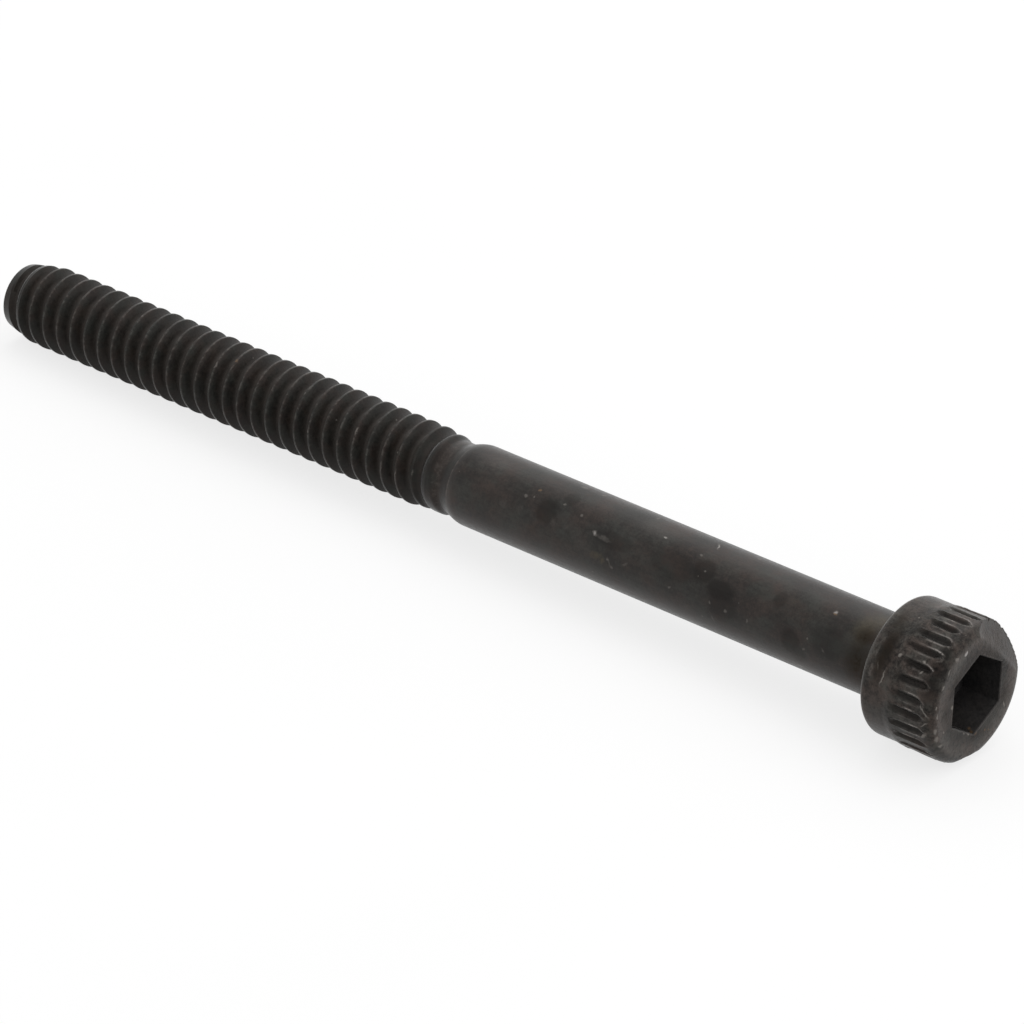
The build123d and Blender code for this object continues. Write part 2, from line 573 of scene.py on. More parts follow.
def build_skin():
    """The whole skin as one mesh in the row frame, with its masks of wear and shelter."""
    skin = Skin()
    bearing_ring = make_head(skin)
    neck_ring = make_shank(skin, bearing_ring)
    last = make_thread(skin, neck_ring)
    make_tip(skin, last)

    along, around, radius, raised, sheltered = np.array(skin.points).T
    points = np.stack([along, radius * np.sin(around), -radius * np.cos(around)], axis=1)
    whole = points
    for bruise in bruises:
        points = planed_off(points, *bruise)
    # Painted shade on the knocked flats, which also lose their wear
    knocked = np.clip(np.linalg.norm(points - whole, axis=1) / full_knock, 0, 1)
    raised = raised * (1 - knock_wear_loss * knocked)
    sheltered = np.maximum(sheltered, knock_painted_shade * knocked)

    screw_to_row = np.array([towards_tip, sideways, -downwards])
    places = points @ screw_to_row * MM

    mesh = bpy.data.meshes.new("cap_screw_skin")
    mesh.from_pydata(places.tolist(), [], skin.faces)
    mesh.polygons.foreach_set("material_index", skin.finishes)
    mesh.polygons.foreach_set("use_smooth", [True] * len(skin.faces))
    for name, values in (("raised_metal", raised), ("sheltered", sheltered)):
        mask = mesh.attributes.new(name, "FLOAT", "POINT")
        mask.data.foreach_set("value", values)
    mesh.set_sharp_from_angle(angle=math.radians(sharp_edge_degrees))
    mesh.validate()
    mesh.update()
    return add_object("black_cap_screw", mesh)


# ---- node helpers


def put(tree, socket, value):
    """Links a socket to another, or sets its number, vector or colour."""
    if isinstance(value, bpy.types.NodeSocket):
        tree.links.new(value, socket)
    elif isinstance(value, tuple) and len(value) == 3 and socket.type == "RGBA":
        socket.default_value = (*value, 1.0)
    else:
        socket.default_value = value


def fill(tree, node, **values):
    """Links or sets a node's inputs by their labels, with _ for a space."""
    for label, value in values.items():
        put(tree, node.inputs[label.replace("_", " ")], value)


def math_node(tree, operation, first, second=0.0, clamp=False):
    node = tree.nodes.new("ShaderNodeMath")
    node.operation = operation
    node.use_clamp = clamp
    put(tree, node.inputs[0], first)
    put(tree, node.inputs[1], second)
    return node.outputs[0]


def times(tree, first, *others):
    """The product of two values or more."""
    for value in others:
        first = math_node(tree, "MULTIPLY", first, value)
    return first


def plus(tree, first, second):
    return math_node(tree, "ADD", first, second)


def larger(tree, first, second):
    return math_node(tree, "MAXIMUM", first, second)


def vector_node(tree, operation, first, second=None, scale=None):
    node = tree.nodes.new("ShaderNodeVectorMath")
    node.operation = operation
    put(tree, node.inputs[0], first)
    if second is not None:
        put(tree, node.inputs[1], second)
    if scale is not None:
        put(tree, node.inputs["Scale"], scale)
    return node.outputs["Value"] if operation == "LENGTH" else node.outputs["Vector"]


def mix_colour(tree, share, first, second, blend="MIX"):
    node = tree.nodes.new("ShaderNodeMix")
    node.data_type = "RGBA"
    node.blend_type = blend
    put(tree, node.inputs["Factor"], share)
    put(tree, node.inputs[6], first)
    put(tree, node.inputs[7], second)
    return node.outputs[2]


def mix_value(tree, share, first, second):
    node = tree.nodes.new("ShaderNodeMix")
    put(tree, node.inputs["Factor"], share)
    put(tree, node.inputs[2], first)
    put(tree, node.inputs[3], second)
    return node.outputs[0]


def spread(tree, value, low, high, out_low=0.0, out_high=1.0):
    """A soft step: out_low under low, out_high over high."""
    node = tree.nodes.new("ShaderNodeMapRange")
    node.interpolation_type = "SMOOTHSTEP"
    fill(tree, node, Value=value, From_Min=low, From_Max=high, To_Min=out_low, To_Max=out_high)
    return node.outputs["Result"]


def noise_node(tree, place, scale, detail=2.0, roughness=0.5, colour=False):
    node = tree.nodes.new("ShaderNodeTexNoise")
    fill(tree, node, Vector=place, Scale=scale, Detail=detail, Roughness=roughness)
    return node.outputs["Color"] if colour else node.outputs["Fac"]


def mask_attribute(tree, name):
    node = tree.nodes.new("ShaderNodeAttribute")
    node.attribute_name = name
    return node.outputs["Fac"]


def new_group(name, inputs, outputs, output_kind="NodeSocketFloat"):
    """A node group: each input has a label and a starting number or vector."""
    tree = bpy.data.node_groups.new(name, "ShaderNodeTree")
    for label, value in inputs.items():
        kind = "NodeSocketVector" if isinstance(value, tuple) else "NodeSocketFloat"
        label = label.replace("_", " ")
        socket = tree.interface.new_socket(name=label, in_out="INPUT", socket_type=kind)
        socket.default_value = value
    for label in outputs:
        tree.interface.new_socket(name=label, in_out="OUTPUT", socket_type=output_kind)
    entry = tree.nodes.new("NodeGroupInput").outputs
    return tree, entry, tree.nodes.new("NodeGroupOutput")


def use_group(tree, group, **values):
    node = tree.nodes.new("ShaderNodeGroup")
    node.node_tree = group
    fill(tree, node, **values)
    return node.outputs


# ---- shared effects

ORIGIN = (0.0, 0.0, 0.0)

tone_range = (0.35, 0.65)  # the part of a noise's range that is spread from dark to light
grain_range = (0.3, 0.7)


def make_screw_place():
    """Place on the screw in millimetres, with X along its axis towards the tip."""
    tree, _, leave = new_group("screw_place", {}, ("Place", "Ragged"), "NodeSocketVector")
    source = tree.nodes.new("ShaderNodeTexCoord").outputs["Object"]
    turn = Matrix((towards_tip, sideways, -downwards)).to_euler("XYZ")
    mapping = tree.nodes.new("ShaderNodeMapping")
    mapping.vector_type = "POINT"
    fill(tree, mapping, Vector=source, Rotation=turn, Scale=(1 / MM, 1 / MM, 1 / MM))
    place = mapping.outputs["Vector"]
    wander = noise_node(tree, place, 4.0, 3.0, 0.6, colour=True)
    centred = vector_node(tree, "SUBTRACT", wander, (0.5, 0.5, 0.5))
    ragged = vector_node(tree, "ADD", place, vector_node(tree, "SCALE", centred, scale=0.22))
    fill(tree, leave, Place=place, Ragged=ragged)
    return tree


def make_mottle():
    """Uneven tone of the oxide: broad clouds with a fine grain over them."""
    inputs = dict(Place=ORIGIN, Cloud_Scale=0.8, Grain_Scale=9.0, Grain_Share=0.4)
    tree, entry, leave = new_group("oxide_mottle", inputs, ("Tone", "Grain", "Hue"))
    drawn = vector_node(tree, "MULTIPLY", entry["Place"], (0.8, 1.0, 1.0))
    clouds = noise_node(tree, drawn, entry["Cloud Scale"], 4.0, 0.6)
    grain = noise_node(tree, entry["Place"], entry["Grain Scale"], 4.0, 0.85)
    tone = mix_value(tree, entry["Grain Share"], clouds, grain)
    aside = vector_node(tree, "ADD", drawn, (7.0, 3.0, 5.0))
    hue = noise_node(tree, aside, times(tree, entry["Cloud Scale"], 1.5), 3.0, 0.55)
    tone = spread(tree, tone, *tone_range)
    fill(tree, leave, Tone=tone, Grain=grain, Hue=spread(tree, hue, *tone_range))
    return tree


def make_edge_wear():
    """Where raised metal has lost its oxide, in broken patches."""
    inputs = dict(Place=ORIGIN, Raised=0.0, Patch_Scale=3.0, Cover=0.5)
    tree, entry, leave = new_group("edge_wear", inputs, ("Worn",))
    patches = noise_node(tree, entry["Place"], entry["Patch Scale"], 4.0, 0.6)
    threshold = math_node(tree, "SUBTRACT", 1.0, entry["Cover"])
    open_share = spread(tree, patches, times(tree, threshold, 0.75), threshold)
    sharpened = math_node(tree, "POWER", entry["Raised"], 1.6)
    worn = math_node(tree, "MULTIPLY", open_share, sharpened, clamp=True)
    fill(tree, leave, Worn=worn)
    return tree


def make_specks():
    """Small scattered specks, with the share of cells that hold one."""
    inputs = dict(Place=ORIGIN, Per_Millimetre=2.0, Size=0.12, Share=0.2)
    tree, entry, leave = new_group("specks", inputs, ("Speck",))
    cells = tree.nodes.new("ShaderNodeTexVoronoi")
    fill(tree, cells, Vector=entry["Place"], Scale=entry["Per Millimetre"])
    parts = tree.nodes.new("ShaderNodeSeparateColor")
    fill(tree, parts, Color=cells.outputs["Color"])
    size = times(tree, entry["Size"], plus(tree, parts.outputs[1], 0.4))
    dot = spread(tree, cells.outputs["Distance"], times(tree, size, 0.5), size, 1, 0)
    chosen = math_node(tree, "LESS_THAN", parts.outputs[0], entry["Share"])
    fill(tree, leave, Speck=times(tree, dot, chosen))
    return tree


def make_rust_bloom():
    """Thin brown rust that gathers in sheltered metal and in random patches."""
    inputs = dict(Place=ORIGIN, Sheltered=0.0, Patch_Scale=1.2, Cover=0.3)
    tree, entry, leave = new_group("rust_bloom", inputs, ("Rust",))
    patches = noise_node(tree, entry["Place"], entry["Patch Scale"], 5.0, 0.62)
    total = plus(tree, patches, times(tree, entry["Sheltered"], 0.06))
    threshold = math_node(tree, "SUBTRACT", 0.78, times(tree, entry["Cover"], 0.4))
    rust = spread(tree, total, threshold, plus(tree, threshold, 0.12))
    fill(tree, leave, Rust=rust)
    return tree


def make_tool_lines():
    """Height of fine lines left by drawing or rolling, stretched along one direction."""
    inputs = dict(Place=ORIGIN, Stretch=(0.25, 9.0, 9.0))
    tree, entry, leave = new_group("tool_lines", inputs, ("Height",))
    stretched = vector_node(tree, "MULTIPLY", entry["Place"], entry["Stretch"])
    fill(tree, leave, Height=noise_node(tree, stretched, 1.0, 3.0, 0.55))
    return tree


screw_place = make_screw_place()
oxide_mottle = make_mottle()
edge_wear = make_edge_wear()
specks = make_specks()
rust_bloom = make_rust_bloom()
tool_lines = make_tool_lines()

# ---- marks at places

# Each mark: length along the screw from the bearing face, degrees around from straight down,
# half length, half width, and for some the degrees that its length turns from the axis.
# On the head's top face the first number is the distance from the axis instead.

shank_stains = (
    (7.17, 137, 0.44, 0.40),
    (6.32, 121, 0.54, 0.34),
    (3.38, 95, 0.36, 0.40),
    (13.55, 130, 0.42, 0.42),
)
shank_shadows = (
    (6.10, 102, 0.52, 0.50),
    (3.05, 80, 0.30, 0.34),
    (4.17, 141, 0.24, 0.26),
    (12.93, 159, 0.24, 0.28),
    (10.80, 127, 0.75, 0.26),
    (1.90, 112, 0.70, 0.50),
    (8.30, 128, 0.90, 0.45),
)
shank_dirt = (
    (0.78, 104, 0.44, 0.62),
    (0.45, 90, 0.30, 0.40),
    (0.80, 138, 0.30, 0.30),
)
shank_silt = (
    (0.95, 152, 0.36, 0.50),
    (0.60, 168, 0.45, 0.35),
    (11.25, 101, 0.20, 0.10, -12),
    (10.98, 97, 0.08, 0.09),
)
shank_dust_and_glints = (
    (14.51, 138, 0.07, 0.05),
    (14.21, 141, 0.04, 0.03),
    (13.05, 147, 0.05, 0.04),
    (12.28, 143, 0.05, 0.05),
    (11.52, 127, 0.09, 0.07),
    (9.11, 160, 0.07, 0.05),
    (8.20, 99, 0.05, 0.04),
    (10.78, 101, 0.04, 0.04),
    (10.58, 93, 0.04, 0.04),
    (7.43, 182, 0.17, 0.035, 55),
    (7.59, 157, 0.05, 0.05),
    (7.15, 137, 0.04, 0.04),
    (6.60, 101, 0.04, 0.06),
    (5.96, 98, 0.06, 0.04, -40),
    (2.82, 91, 0.05, 0.05),
    (5.11, 97, 0.04, 0.04),
    (2.20, 155, 0.06, 0.06),
    (3.08, 57, 0.28, 0.04),
    # Painted highlights: glints along the top of the shank
    (13.07, 190, 0.12, 0.06),
    (12.26, 190, 0.08, 0.05),
    (10.00, 189, 0.06, 0.05),
    (5.99, 193, 0.08, 0.05),
)
# Painted highlights: glints painted as near white spots
shank_glints = (
    (11.53, 127, 0.05, 0.05),
    (2.20, 155, 0.04, 0.045),
    (7.43, 182, 0.14, 0.025, 55),
    (9.11, 160, 0.05, 0.035),
    (3.08, 57, 0.20, 0.03),
)
shank_scratches = (
    (11.15, 126, 0.28, 0.06, 4),
    (10.70, 98, 0.18, 0.03, 60),
    (10.07, 104, 0.09, 0.04, -40),
    (6.47, 79, 0.10, 0.04, 50),
    (2.09, 100, 0.10, 0.03, 35),
)
shank_smudges_and_painted_light = (
    (15.20, 116, 0.12, 0.10),
    (14.53, 119, 0.10, 0.12),
    (13.15, 117, 0.12, 0.10),
    (12.61, 120, 0.10, 0.08),
    (7.54, 80, 0.14, 0.10),
    (16.30, 165, 0.50, 0.35),
    (9.60, 168, 0.60, 0.30),
    (11.90, 108, 0.40, 0.18, 30),
    # Painted light: two long lighter bands along the lower side of the shank
    (12.50, 61, 4.50, 0.34),
    (4.50, 61, 4.00, 0.34),
)
shank_rust = (
    (14.18, 152, 0.07, 0.045, -20),
    (2.18, 152.5, 0.05, 0.03),
)

thread_dirt = (
    (26.41, 160, 0.25, 0.30),
    (17.85, 160, 0.12, 0.40),
)
thread_dust = (
    (21.66, 129, 0.03, 0.12),
    (20.36, 82, 0.025, 0.45, 6),
    (19.71, 90, 0.03, 0.25, 6),
    (19.04, 107, 0.03, 0.10),
    (18.85, 74, 0.10, 0.06),
    (24.89, 119, 0.04, 0.04),
    (23.55, 104, 0.04, 0.05),
    (24.26, 150, 0.03, 0.05),
    (22.62, 93, 0.04, 0.05),
    (26.82, 120, 0.06, 0.05),
    (28.04, 139, 0.03, 0.12),
    (31.29, 132, 0.03, 0.10),
    (31.12, 93, 0.03, 0.10),
    (17.52, 167, 0.04, 0.14, 10),
)
thread_rust = (
    (27.46, 157, 0.05, 0.07),
    (27.56, 184, 0.05, 0.08),
    (19.01, 140, 0.04, 0.10),
)
thread_smudges = (
    (18.14, 135, 0.16, 0.50),
    (18.12, 92, 0.16, 0.45),
    (18.16, 178, 0.16, 0.40),
)

head_stains = (
    (-2.56, 122, 0.22, 0.75),
    (-2.54, 146, 0.22, 0.38),
    (-0.62, 128, 0.28, 0.55),
)
# Painted light: lighter patches on the underside of the plain band and along the top of the head
head_painted_light = (
    (-2.58, 182, 0.22, 0.45),
    (-0.60, 72, 0.35, 0.50),
    (-0.60, 90, 0.30, 0.40),
    (-0.60, 62, 0.35, 0.40),
    (-0.55, 178, 0.35, 0.45),
)
head_dirt = (
    (-0.47, 157, 0.18, 0.45),
    (-0.62, 137, 0.22, 0.75),
    (-0.60, 119, 0.18, 0.60),
)
head_dust = (
    (-0.80, 109, 0.025, 0.22, 8),
    (-0.44, 68, 0.05, 0.05),
    (-1.15, 131, 0.05, 0.05),
    (-2.02, 133, 0.06, 0.04, 40),
    (-2.06, 125, 0.07, 0.04, -40),
    (-2.53, 97, 0.24, 0.02, 50),
    (-2.56, 86, 0.12, 0.025, -40),
    (-2.50, 75, 0.14, 0.03, -50),
)
head_scratches = (
    (-0.35, 138, 0.04, 0.16, 6),
    (-0.34, 128, 0.04, 0.16),
    (-0.33, 112, 0.05, 0.24, -4),
    (-0.55, 117, 0.03, 0.12, -20),
    (-0.80, 109, 0.04, 0.32, 8),
    (-2.45, 152, 0.14, 0.03, 40),
    (-2.50, 138, 0.12, 0.03, -40),
)

# Darker marks on the top face. The first two are painted shade on the knocked flat of the top edge,
# and those at 0, 90 and 125 degrees are painted shade near the socket's mouth
face_stains_and_shade = (
    (1.95, 226, 0.45, 0.65),
    (1.85, 198, 0.25, 0.35),
    (1.58, 295, 0.26, 0.30),
    (1.40, 125, 0.15, 0.40),
    (1.42, 0, 0.15, 0.30),
    (1.60, 90, 0.20, 0.25),
)
face_smudges = (
    (1.90, 270, 0.25, 0.50),
    (1.85, 330, 0.25, 0.50),
    (1.75, 205, 0.25, 0.40),
    (1.95, 150, 0.15, 0.40),
)
face_nicks = (
    (2.02, 147, 0.05, 0.09),
    (2.05, 134, 0.03, 0.11),
    (2.04, 119, 0.025, 0.08),
    (2.08, 101, 0.03, 0.04),
    (2.02, 93, 0.02, 0.09),
    (2.08, 78, 0.04, 0.10),
    (2.09, 70, 0.07, 0.09, 20),
    (2.04, 60, 0.06, 0.05),
    (1.79, 70, 0.04, 0.04),
    (1.69, 304, 0.10, 0.03, 30),
    (1.27, 95, 0.06, 0.07),
    (1.24, 45, 0.03, 0.05),
    (1.24, 30, 0.03, 0.04),
    (1.28, 18, 0.03, 0.05),
)
# Painted highlight: a glint on the top face
face_glints = ((1.84, 159, 0.045, 0.09),)
face_rust = (
    (1.36, 359, 0.05, 0.05),
    (1.57, 341, 0.045, 0.05),
    (1.66, 336, 0.03, 0.04),
)
face_dirt = (
    (1.67, 340, 0.25, 0.30),
    (1.60, 215, 0.30, 0.40),
)

socket_rust = (
    (-2.70, 2, 0.07, 0.06),
    (-2.57, 359, 0.06, 0.05),
)

face_mark_height = 0.12  # least half height of a mark on the top face


def on_screw(along, radius, around_degrees):
    """Place and turn of a spot on the screw."""
    around = math.radians(around_degrees)
    place = (along, radius * math.sin(around), -radius * math.cos(around))
    return place, Matrix.Rotation(around - math.pi, 3, "X")


def side_places(marks, radius):
    """Where marks lie on the screw's side: place, turn and half sizes."""
    places = []
    for along, around_degrees, half_length, half_width, *turn in marks:
        place, roll = on_screw(along, radius, around_degrees)
        spin = Matrix.Rotation(-math.radians(sum(turn)), 3, "Z")
        sizes = (half_length, half_width, max(half_length, half_width))
        places.append((place, roll @ spin, sizes))
    return places


def face_places(marks):
    """Where marks lie on the head's top face. Their length points away from the axis."""
    stand_up = Matrix.Rotation(math.radians(90), 3, "Y")
    places = []
    for radius, around_degrees, half_length, half_width, *turn in marks:
        place, roll = on_screw(top_station, radius, around_degrees)
        spin = Matrix.Rotation(math.radians(sum(turn)), 3, "Z")
        sizes = (half_length, half_width, max(half_length, half_width, face_mark_height))
        places.append((place, roll @ stand_up @ spin, sizes))
    return places


def mark_mask(tree, ragged, places, softness=0.5):
    """One mask for a list of marks, each a soft ellipse on the surface."""
    total = None
    for place, turn, half_sizes in places:
        mapping = tree.nodes.new("ShaderNodeMapping")
        mapping.vector_type = "TEXTURE"
        turn = turn.to_euler("XYZ")
        fill(tree, mapping, Vector=ragged, Location=place, Rotation=turn, Scale=half_sizes)
        distance = vector_node(tree, "LENGTH", mapping.outputs["Vector"])
        mask = spread(tree, distance, 1 - softness, 1 + softness, 1, 0)
        total = mask if total is None else larger(tree, total, mask)
    return total


# ---- finishes

oxide_black = (0.0010, 0.0010, 0.0010)
oxide_grey = (0.0350, 0.0300, 0.0270)
# Colour of real stains, and of the painted shade in hollows and on the knocked flats
stain_and_shade_black = (0.0012, 0.0012, 0.0012)
dirt_brown = (0.014, 0.010, 0.006)
silt_brown = (0.075, 0.060, 0.034)
rust_brown = (0.040, 0.022, 0.013)
rust_orange = (0.20, 0.12, 0.06)
dust_and_glint_grey = (0.36, 0.33, 0.30)
# Colour of rubbed oxide, and of the painted light on the shank's lower side and on the head's side
rubbed_and_painted_light_grey = (0.085, 0.072, 0.065)
bare_steel = (0.36, 0.33, 0.31)
# Colour of the painted highlights
painted_glint_white = (0.75, 0.72, 0.70)
gloss_tint = (1.0, 0.92, 0.88)

worn_roughness = 0.38
pale_mark_roughness = 0.8
pale_mark_height = 0.6
dust_film_roughness = 0.3
fleck_share = 0.5
relief_height = 0.02 * MM


def black_oxide(name, finish):
    """A black oxide finish on steel, from the shared effects and this part's own values."""
    material = bpy.data.materials.new(name)
    material.use_nodes = True
    tree = material.node_tree
    shader = tree.nodes["Principled BSDF"]
    place_outputs = use_group(tree, screw_place)
    place = place_outputs["Place"]
    ragged = place_outputs["Ragged"]
    raised = mask_attribute(tree, "raised_metal")
    sheltered = mask_attribute(tree, "sheltered")

    scales = dict(Cloud_Scale=finish["cloud_scale"], Grain_Scale=finish["grain_scale"])
    mottle = use_group(tree, oxide_mottle, Place=place, Grain_Share=finish["grain_share"], **scales)
    lines = use_group(tree, tool_lines, Place=place, Stretch=finish["line_stretch"])["Height"]
    streaks = spread(tree, lines, *tone_range)
    tone = mix_value(tree, finish["streak_share"], mottle["Tone"], streaks)
    colour = mix_colour(tree, tone, finish["dark"], finish["light"])
    roughness = spread(tree, mottle["Grain"], *grain_range, *finish["roughness"])

    uneven = spread(tree, mottle["Grain"], *grain_range, 0.5, 1.0)
    rubbed = times(tree, raised, uneven, finish["rub_share"])
    colour = mix_colour(tree, rubbed, colour, rubbed_and_painted_light_grey)
    tint = mix_colour(tree, mottle["Hue"], finish["cool_tint"], finish["warm_tint"])
    colour = mix_colour(tree, 1.0, colour, tint, "MULTIPLY")

    # Painted shade in the hollows that the sheltered mask marks: on the shank and head a near black
    # colour, with metallic that takes the gloss away; on the thread a lighter colour, which paints
    # light into the roots
    painted_hollow_tone = times(tree, sheltered, uneven, finish["shelter_share"])
    colour = mix_colour(tree, painted_hollow_tone, colour, finish["shelter_colour"])
    dull = times(tree, painted_hollow_tone, finish["shelter_dull"])

    patches = dict(Patch_Scale=finish["rust_scale"], Cover=finish["rust_cover"])
    rust = use_group(tree, rust_bloom, Place=ragged, Sheltered=sheltered, **patches)["Rust"]
    colour = mix_colour(tree, times(tree, rust, finish["rust_share"]), colour, rust_brown)

    for places, softness, share, mark_colour, dull_share in finish["marks"]:
        mask = times(tree, mark_mask(tree, ragged, places, softness), uneven, share)
        colour = mix_colour(tree, mask, colour, mark_colour)
        dull = larger(tree, dull, times(tree, mask, dull_share))

    patches = dict(Patch_Scale=finish["wear_scale"], Cover=finish["wear_cover"])
    worn = use_group(tree, edge_wear, Place=place, Raised=raised, **patches)["Worn"]
    worn = times(tree, worn, finish["wear_share"])
    colour = mix_colour(tree, worn, colour, bare_steel)
    roughness = mix_value(tree, worn, roughness, worn_roughness)

    scatter = dict(Per_Millimetre=finish["speck_density"], Size=finish["speck_size"])
    pale = use_group(tree, specks, Place=place, Share=finish["speck_share"], **scatter)["Speck"]
    if finish["dust"]:
        pale = larger(tree, pale, mark_mask(tree, ragged, finish["dust"]))
    pale = times(tree, pale, finish["pale_share"])
    colour = mix_colour(tree, pale, colour, dust_and_glint_grey)
    roughness = mix_value(tree, pale, roughness, pale_mark_roughness)
    flecks = times(tree, mark_mask(tree, ragged, finish["rust_flecks"]), fleck_share)
    colour = mix_colour(tree, flecks, colour, rust_orange)

    height = mix_value(tree, finish["line_share"], mottle["Grain"], lines)
    height = plus(tree, height, times(tree, pale, pale_mark_height))
    relief = tree.nodes.new("ShaderNodeBump")
    fill(tree, relief, Strength=finish["relief"], Distance=relief_height, Height=height)

    metallic = larger(tree, worn, dull)
    normal = relief.outputs["Normal"]
    fill(tree, shader, Base_Color=colour, Roughness=roughness, Metallic=metallic, Normal=normal)
    fill(tree, shader, IOR=finish["gloss_index"], Specular_Tint=gloss_tint)
    fill(tree, shader, Sheen_Weight=finish["dust_film"], Sheen_Roughness=dust_film_roughness)
    return material


# Each row of a finish's marks: where they lie, softness, share, colour, and how metallic
# the marked spots are, which takes the oxide's gloss away and leaves them dark
shank_finish = dict(
    dark=oxide_black,
    light=oxide_grey,
    cool_tint=(0.80, 1.0, 0.97),
    warm_tint=(1.0, 0.82, 0.75),
    cloud_scale=0.9,
    grain_scale=6.0,
    grain_share=0.55,
    streak_share=0.12,
    roughness=(0.30, 0.44),
    gloss_index=1.39,
    dust_film=0.30,
    shelter_colour=stain_and_shade_black,
    shelter_share=0.5,
    shelter_dull=0.5,
    rust_scale=0.9,
    rust_cover=0.35,
    rust_share=0.30,
    marks=(
        (side_places(shank_stains, shank_radius), 0.3, 0.44, stain_and_shade_black, 1.0),
        (side_places(shank_shadows, shank_radius), 0.3, 0.30, stain_and_shade_black, 1.0),
        (side_places(shank_silt, shank_radius), 0.8, 0.6, silt_brown, 0.0),
        (side_places(shank_dirt, shank_radius), 0.8, 1.0, dirt_brown, 0.9),
        (side_places(shank_smudges_and_painted_light, shank_radius), 0.8, 0.30, rubbed_and_painted_light_grey, 0.0),
        (side_places(shank_scratches, shank_radius), 0.6, 0.16, dust_and_glint_grey, 0.0),
        (side_places(shank_glints, shank_radius), 0.5, 0.40, painted_glint_white, 0.0),
    ),
    dust=side_places(shank_dust_and_glints, shank_radius),
    rust_flecks=side_places(shank_rust, shank_radius),
    pale_share=0.24,
    rub_share=0.5,
    wear_scale=6.0,
    wear_cover=0.42,
    wear_share=0.5,
    speck_density=2.2,
    speck_size=0.08,
    speck_share=0.20,
    line_stretch=(0.4, 8.0, 8.0),
    line_share=0.4,
    relief=0.5,
)
thread_finish = dict(
    shank_finish,
    dark=(0.0035, 0.0034, 0.0032),
    light=(0.0200, 0.0178, 0.0158),
    cloud_scale=1.0,
    streak_share=0.08,
    gloss_index=1.30,
    dust_film=0.50,
    # A lighter colour in the roots than on the flanks: painted light
    shelter_colour=(0.034, 0.029, 0.025),
    shelter_share=0.8,
    shelter_dull=0.0,
    rust_cover=0.55,
    rust_share=0.12,
    marks=(
        (side_places(thread_dirt, thread_radius), 0.8, 0.6, dirt_brown, 0.0),
        (side_places(thread_smudges, neck_radius), 0.8, 0.30, rubbed_and_painted_light_grey, 0.0),
    ),
    dust=side_places(thread_dust, thread_radius),
    rust_flecks=side_places(thread_rust, thread_radius),
    pale_share=0.25,
    rub_share=0.22,
    wear_cover=0.36,
    wear_share=0.12,
    line_stretch=(14.0, 0.8, 0.8),
)
head_stain_and_shade_places = side_places(head_stains, knurl_radius) + face_places(face_stains_and_shade)
head_dirt_places = side_places(head_dirt, head_radius) + face_places(face_dirt)
head_finish = dict(
    shank_finish,
    light=(0.0860, 0.0740, 0.0670),
    cool_tint=(0.90, 1.0, 0.98),
    warm_tint=(1.0, 0.90, 0.85),
    cloud_scale=1.2,
    streak_share=0.05,
    grain_share=0.65,
    relief=1.0,
    gloss_index=1.26,
    marks=(
        (head_stain_and_shade_places, 0.8, 0.75, stain_and_shade_black, 1.0),
        (head_dirt_places, 0.8, 0.8, dirt_brown, 0.4),
        (side_places(head_painted_light, knurl_radius), 0.8, 0.45, rubbed_and_painted_light_grey, 0.0),
        (face_places(face_smudges), 0.8, 0.2, rubbed_and_painted_light_grey, 0.0),
        (side_places(head_scratches, knurl_radius), 0.6, 0.15, dust_and_glint_grey, 0.0),
        (face_places(face_glints), 0.4, 0.8, painted_glint_white, 0.0),
    ),
    dust=side_places(head_dust, knurl_radius) + face_places(face_nicks),
    rust_flecks=face_places(face_rust),
    pale_share=0.55,
    rub_share=0.8,
    speck_density=3.0,
    speck_size=0.10,
    speck_share=0.24,
    wear_scale=11.0,
    wear_cover=0.51,
    wear_share=0.85,
    shelter_share=0.9,
    shelter_dull=0.4,
)
socket_finish = dict(
    head_finish,
    dark=(0.022, 0.022, 0.022),
    light=(0.050, 0.048, 0.046),
    cool_tint=(1.0, 0.98, 1.0),
    warm_tint=(1.0, 0.96, 0.96),
    dust_film=0.0,
    speck_share=0.0,
    marks=(),
    dust=(),
    rust_flecks=side_places(socket_rust, socket_across_flats / math.sqrt(3)),
    rust_cover=0.3,
    wear_share=0.3,
    shelter_share=0.0,
)

# ---- the screw

cap_screw = build_skin()
for name, finish in (
    ("black_oxide_shank", shank_finish),
    ("black_oxide_thread", thread_finish),
    ("black_oxide_head", head_finish),
    ("black_oxide_socket", socket_finish),
):
    cap_screw.data.materials.append(black_oxide(name, finish))
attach(cap_screw, "root")
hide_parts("cap_screw")

# ---- floor, light and camera


def seen_share(tree):
    """1 for rays from the camera and from gloss or glass, and 0 for the rest."""
    path = tree.nodes.new("ShaderNodeLightPath")
    seen = larger(tree, path.outputs["Is Camera Ray"], path.outputs["Is Glossy Ray"])
    return larger(tree, seen, path.outputs["Is Transmission Ray"])


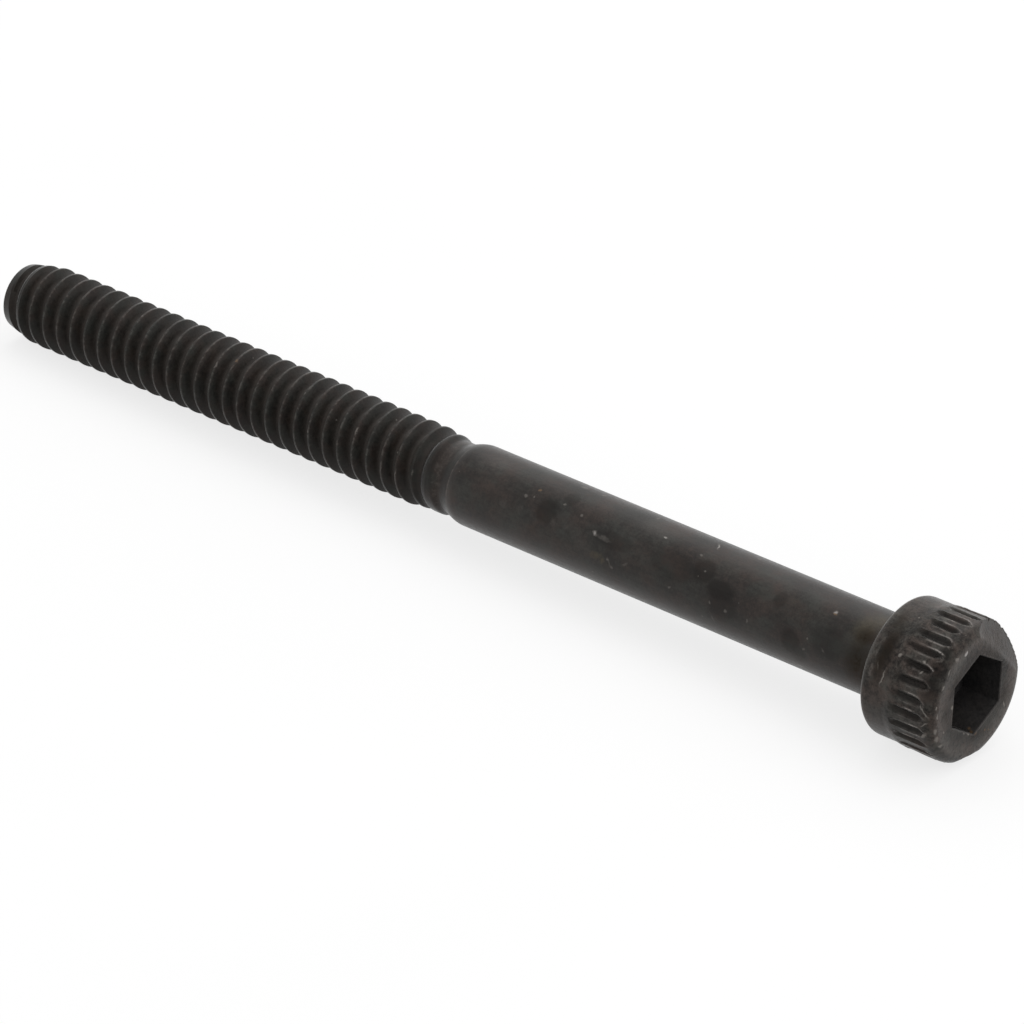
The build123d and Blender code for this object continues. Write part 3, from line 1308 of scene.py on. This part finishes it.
def make_floor():
    """A plain pale floor under the lowest point of the screw, which keeps its shadow."""
    half_side = 0.6
    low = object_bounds()[0][2]
    corners = [(x * half_side, y * half_side, low) for x, y in ((-1, -1), (1, -1), (1, 1), (-1, 1))]
    mesh = bpy.data.meshes.new("studio_floor")
    mesh.from_pydata(corners, [], [(0, 1, 2, 3)])
    floor = add_object("studio_floor", mesh)
    material = bpy.data.materials.new("matt_white_board")
    material.use_nodes = True
    tree = material.node_tree
    shader = tree.nodes["Principled BSDF"]
    place = tree.nodes.new("ShaderNodeTexCoord").outputs["Object"]
    tone = noise_node(tree, place, 60.0, 2.0)
    board = mix_colour(tree, tone, (0.24, 0.24, 0.24), (0.26, 0.26, 0.26))
    fill(tree, shader, Base_Color=board, Roughness=0.9, Specular_IOR_Level=0.0)
    glow = times(tree, seen_share(tree), 0.76)
    fill(tree, shader, Emission_Color=(1, 1, 1), Emission_Strength=glow)
    mesh.materials.append(material)


def light_room():
    """White surroundings that read as white where they are seen, and softer as light."""
    world = bpy.data.worlds.new("white_room")
    bpy.context.scene.world = world
    world.use_nodes = True
    tree = world.node_tree
    background = tree.nodes["Background"]
    strength = mix_value(tree, seen_share(tree), 0.70, 1.0)
    fill(tree, background, Color=(1, 1, 1), Strength=strength)


def soft_lamp(name, place, aim, size, power):
    lamp = bpy.data.lights.new(name, "AREA")
    lamp.shape = "SQUARE"
    lamp.size = size
    lamp.energy = power
    holder = add_object(name, lamp)
    holder.location = place
    holder.rotation_euler = (Vector(aim) - Vector(place)).to_track_quat("-Z", "Y").to_euler()


def place_camera():
    """A long lens from the front right, above, with the frame tipped a little."""
    azimuth = math.radians(39.828)
    elevation = math.radians(29.805)
    roll = math.radians(1.704)
    aim = Vector((-15.698, -0.215, -0.688)) * MM
    distance = 210.82 * MM
    reach = math.cos(elevation)
    back = Vector((math.sin(azimuth) * reach, -math.cos(azimuth) * reach, math.sin(elevation)))
    level = Vector((math.cos(azimuth), math.sin(azimuth), 0))
    right = Matrix.Rotation(roll, 3, back) @ level
    up = back.cross(right)
    camera = bpy.data.cameras.new("studio_camera")
    camera.sensor_width = 36.0
    camera.lens = 230.44
    camera.clip_start = 0.01
    holder = add_object("studio_camera", camera)
    facing = Matrix((right, up, back)).transposed().to_4x4()
    holder.matrix_world = Matrix.Translation(aim + back * distance) @ facing
    bpy.context.scene.camera = holder


make_floor()
light_room()
screw_middle = (-0.018, 0, 0)
soft_lamp("soft_key", (-0.10, 0.20, 0.40), screw_middle, 0.45, 0.55)
soft_lamp("soft_fill", (0.30, 0.10, 0.30), screw_middle, 0.35, 0.35)
place_camera()
bpy.context.scene.view_settings.view_transform = "Standard"
